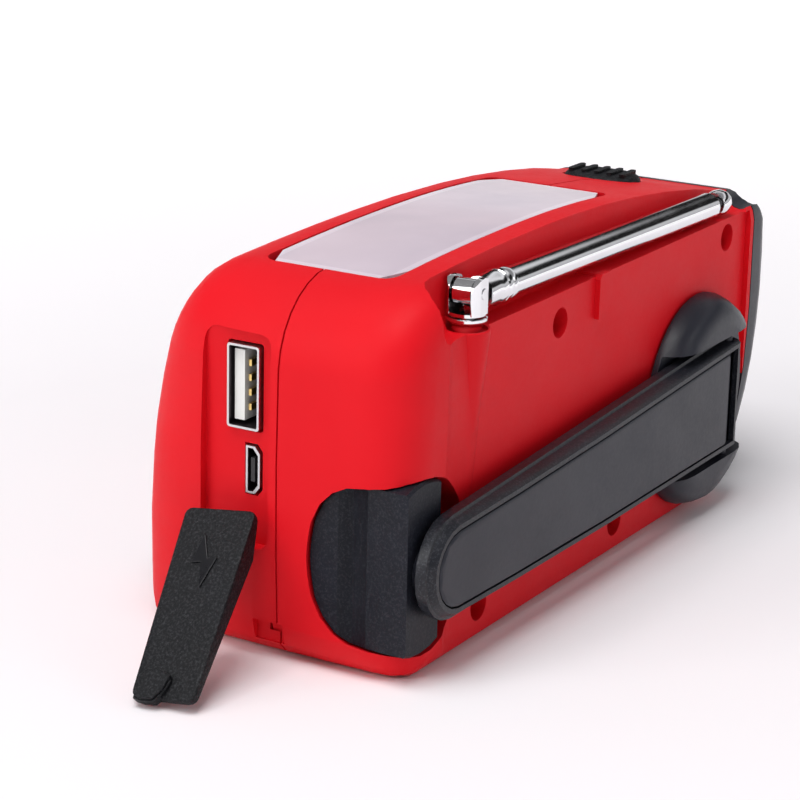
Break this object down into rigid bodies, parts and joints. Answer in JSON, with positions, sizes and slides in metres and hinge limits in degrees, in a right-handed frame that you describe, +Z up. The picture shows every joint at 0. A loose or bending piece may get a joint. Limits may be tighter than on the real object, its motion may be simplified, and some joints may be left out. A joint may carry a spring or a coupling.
{
  "type": "hand-crank emergency radio",
  "caption": "Pocket-size red emergency radio with solar panel, folding hand crank with grip, telescopic antenna, torch end and covered charging ports.",
  "frame": {"origin": "middle of the flat bottom of the case", "axes": "+X towards the end with the charging ports, -X towards the torch, +Y out of the back with the crank, -Y out of the front with the controls, +Z up"},
  "size_m": [0.1549, 0.062, 0.0604],
  "materials": {
    "red_plastic": "satin moulded plastic",
    "grey_plastic": "satin moulded plastic",
    "black_rubber": "fine textured rubber",
    "chrome": "bright plating",
    "steel": "plain steel",
    "brass": "plain brass",
    "white_plastic": "natural nylon",
    "black_plastic": "moulded plastic",
    "clear_plastic": "polished clear plastic",
    "solar_glass": "dark solar cell",
    "green_board": "solder mask",
    "battery_foil": "wrapped pouch",
    "cone_paper": "pressed paper",
    "orange_plastic": "moulded plastic"
  },
  "bodies": {
    "case": {"front_shell": "red_plastic", "back_shell": "red_plastic", "torch_bezel": "grey_plastic", "torch_lens": "clear_plastic", "torch_reflector": "chrome", "lamp_board": "green_board", "torch_lamp_1": "clear_plastic", "torch_lamp_2": "clear_plastic", "torch_lamp_3": "clear_plastic", "case_screw_1": "steel", "case_screw_2": "steel", "case_screw_3": "steel", "case_screw_4": "steel", "solar_cell": "solar_glass", "solar_cover": "clear_plastic", "torch_switch": "black_plastic", "main_board": "green_board", "usb_a_shell": "steel", "usb_a_tongue": "white_plastic", "usb_contact_1": "brass", "usb_contact_2": "brass", "usb_contact_3": "brass", "usb_contact_4": "brass", "micro_usb_shell": "steel", "micro_usb_tongue": "black_plastic", "idler_axle": "steel", "generator": "steel", "gear_plate": "steel", "battery": "battery_foil", "speaker_frame": "steel", "speaker_cone": "cone_paper", "dial_window": "clear_plastic", "dial_plate": "black_plastic", "tuning_capacitor": "black_plastic", "volume_control": "black_plastic", "band_switch": "steel", "antenna_ferrule": "chrome"},
    "crank_hub": {"crank_hub": "grey_plastic", "drive_gear": "white_plastic"},
    "crank_arm": {"crank_arm": "grey_plastic", "crank_arm_plate": "grey_plastic", "grip_pin": "steel"},
    "crank_grip": {"crank_grip": "black_rubber"},
    "idler": {"idler_gear": "white_plastic"},
    "rotor": {"generator_rotor": "brass"},
    "antenna_fork": {"antenna_fork": "chrome"},
    "antenna_base": {"antenna_base": "chrome"},
    "antenna_section_2": {"antenna_section_2": "chrome"},
    "antenna_section_3": {"antenna_section_3": "chrome"},
    "antenna_section_4": {"antenna_section_4": "chrome"},
    "torch_button": {"torch_button": "black_rubber"},
    "tuning_knob": {"tuning_knob": "grey_plastic"},
    "dial_pointer": {"dial_pointer": "orange_plastic"},
    "volume_knob": {"volume_knob": "grey_plastic"},
    "band_slider": {"band_slider": "black_plastic"},
    "cover_leash": {"cover_leash": "black_rubber"},
    "port_cover": {"port_cover": "black_rubber"}
  },
  "joints": [
    {"name": "crank_spin", "type": "hinge", "parent": "case", "child": "crank_hub", "pos_m": [-0.037, 0.0219, 0.021], "axis": [0, -1, 0], "continuous": true},
    {"name": "idler_spin", "type": "hinge", "parent": "case", "child": "idler", "pos_m": [-0.028, 0.008, 0.03659], "axis": [0, -1, 0], "continuous": true},
    {"name": "rotor_spin", "type": "hinge", "parent": "case", "child": "rotor", "pos_m": [-0.01297, 0.0067, 0.03112], "axis": [0, -1, 0], "continuous": true},
    {"name": "crank_fold", "type": "hinge", "parent": "crank_hub", "child": "crank_arm", "pos_m": [-0.043, 0.0256, 0.021], "axis": [0, 0, 1], "range_deg": [0, 180]},
    {"name": "grip_spin", "type": "hinge", "parent": "crank_arm", "child": "crank_grip", "pos_m": [0.057, 0.0224, 0.018], "axis": [0, 1, 0], "continuous": true},
    {"name": "antenna_turn", "type": "hinge", "parent": "case", "child": "antenna_fork", "pos_m": [0.041, 0.0196, 0.05], "axis": [0, 0, -1], "range_deg": [0, 150]},
    {"name": "antenna_tilt", "type": "hinge", "parent": "antenna_fork", "child": "antenna_base", "pos_m": [0.041, 0.0196, 0.0566], "axis": [0, 1, 0], "range_deg": [0, 130]},
    {"name": "antenna_slide_2", "type": "slide", "parent": "antenna_base", "child": "antenna_section_2", "axis": [-0.9997, 0, -0.0236], "range_m": [0, 0.07]},
    {"name": "antenna_slide_3", "type": "slide", "parent": "antenna_section_2", "child": "antenna_section_3", "axis": [-0.9997, 0, -0.0236], "range_m": [0, 0.07]},
    {"name": "antenna_slide_4", "type": "slide", "parent": "antenna_section_3", "child": "antenna_section_4", "axis": [-0.9997, 0, -0.0236], "range_m": [0, 0.07]},
    {"name": "torch_press", "type": "slide", "parent": "case", "child": "torch_button", "axis": [0, 0, -1], "range_m": [0, 0.0005], "stiffness_N_per_m": 300},
    {"name": "tuning_turn", "type": "hinge", "parent": "case", "child": "tuning_knob", "pos_m": [0.036, -0.0286, 0.0205], "axis": [0, 1, 0], "range_deg": [-73, 73]},
    {"name": "pointer_slide", "type": "slide", "parent": "case", "child": "dial_pointer", "axis": [1, 0, 0], "range_m": [-0.009, 0.009]},
    {"name": "volume_turn", "type": "hinge", "parent": "case", "child": "volume_knob", "pos_m": [0.0145, -0.0286, 0.017], "axis": [0, 1, 0], "range_deg": [0, 270]},
    {"name": "band_slide", "type": "slide", "parent": "case", "child": "band_slider", "axis": [0, 0, 1], "range_m": [-0.004, 0.004]},
    {"name": "cover_push", "type": "slide", "parent": "case", "child": "cover_leash", "axis": [-1, 0, 0], "range_m": [0, 0.0032]},
    {"name": "cover_swivel", "type": "hinge", "parent": "cover_leash", "child": "port_cover", "pos_m": [0.06562, -0.00772, 0.02058], "axis": [0.9235, 0.0284, 0.3825], "range_deg": [0, 172.15]}
  ],
  "couplings": [
    {"joint": "idler_spin", "follows": "crank_spin", "ratio": -3.5},
    {"joint": "rotor_spin", "follows": "crank_spin", "ratio": 10.5},
    {"joint": "pointer_slide", "follows": "tuning_turn", "m_per_rad": 0.007}
  ]
}
